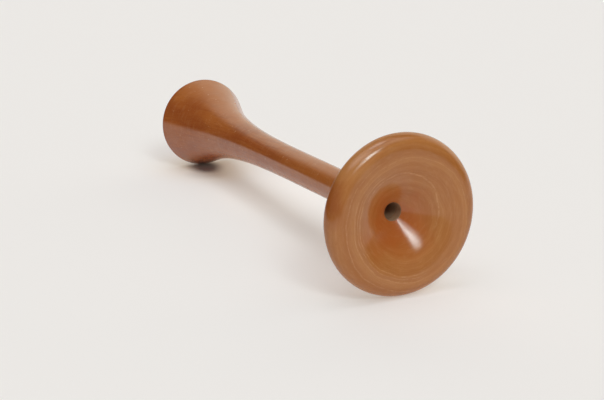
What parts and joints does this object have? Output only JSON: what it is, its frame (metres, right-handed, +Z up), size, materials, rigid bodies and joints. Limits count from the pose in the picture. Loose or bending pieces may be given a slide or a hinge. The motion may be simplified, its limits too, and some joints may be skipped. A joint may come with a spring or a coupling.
{
  "type": "fetal stethoscope horn",
  "caption": "Turned, varnished wooden listening horn: a dished round ear plate with a beaded rim and centre hole, pushed on a slender stem that flares into a bell.",
  "frame": {"origin": "on the floor, under the middle of the horn's box as it lies on its side", "axes": "+Z up; +Y along the horn from the ear plate to the bell; the horn's own axis dips 2.94 degrees towards the bell, because it lies on its two rims"},
  "size_m": [0.062, 0.203, 0.0619],
  "materials": {
    "plate_wood": "clear satin varnish, growth rings round the turning axis",
    "horn_wood": "clear satin varnish, grain along the stem"
  },
  "bodies": {
    "horn": {"stem_and_bell": "horn_wood"},
    "plate": {"ear_plate": "plate_wood"}
  },
  "joints": [
    {"name": "ear_plate_pull", "type": "slide", "parent": "horn", "child": "plate", "axis": [0, -0.9987, 0.0514], "range_m": [0, 0.02]}
  ]
}
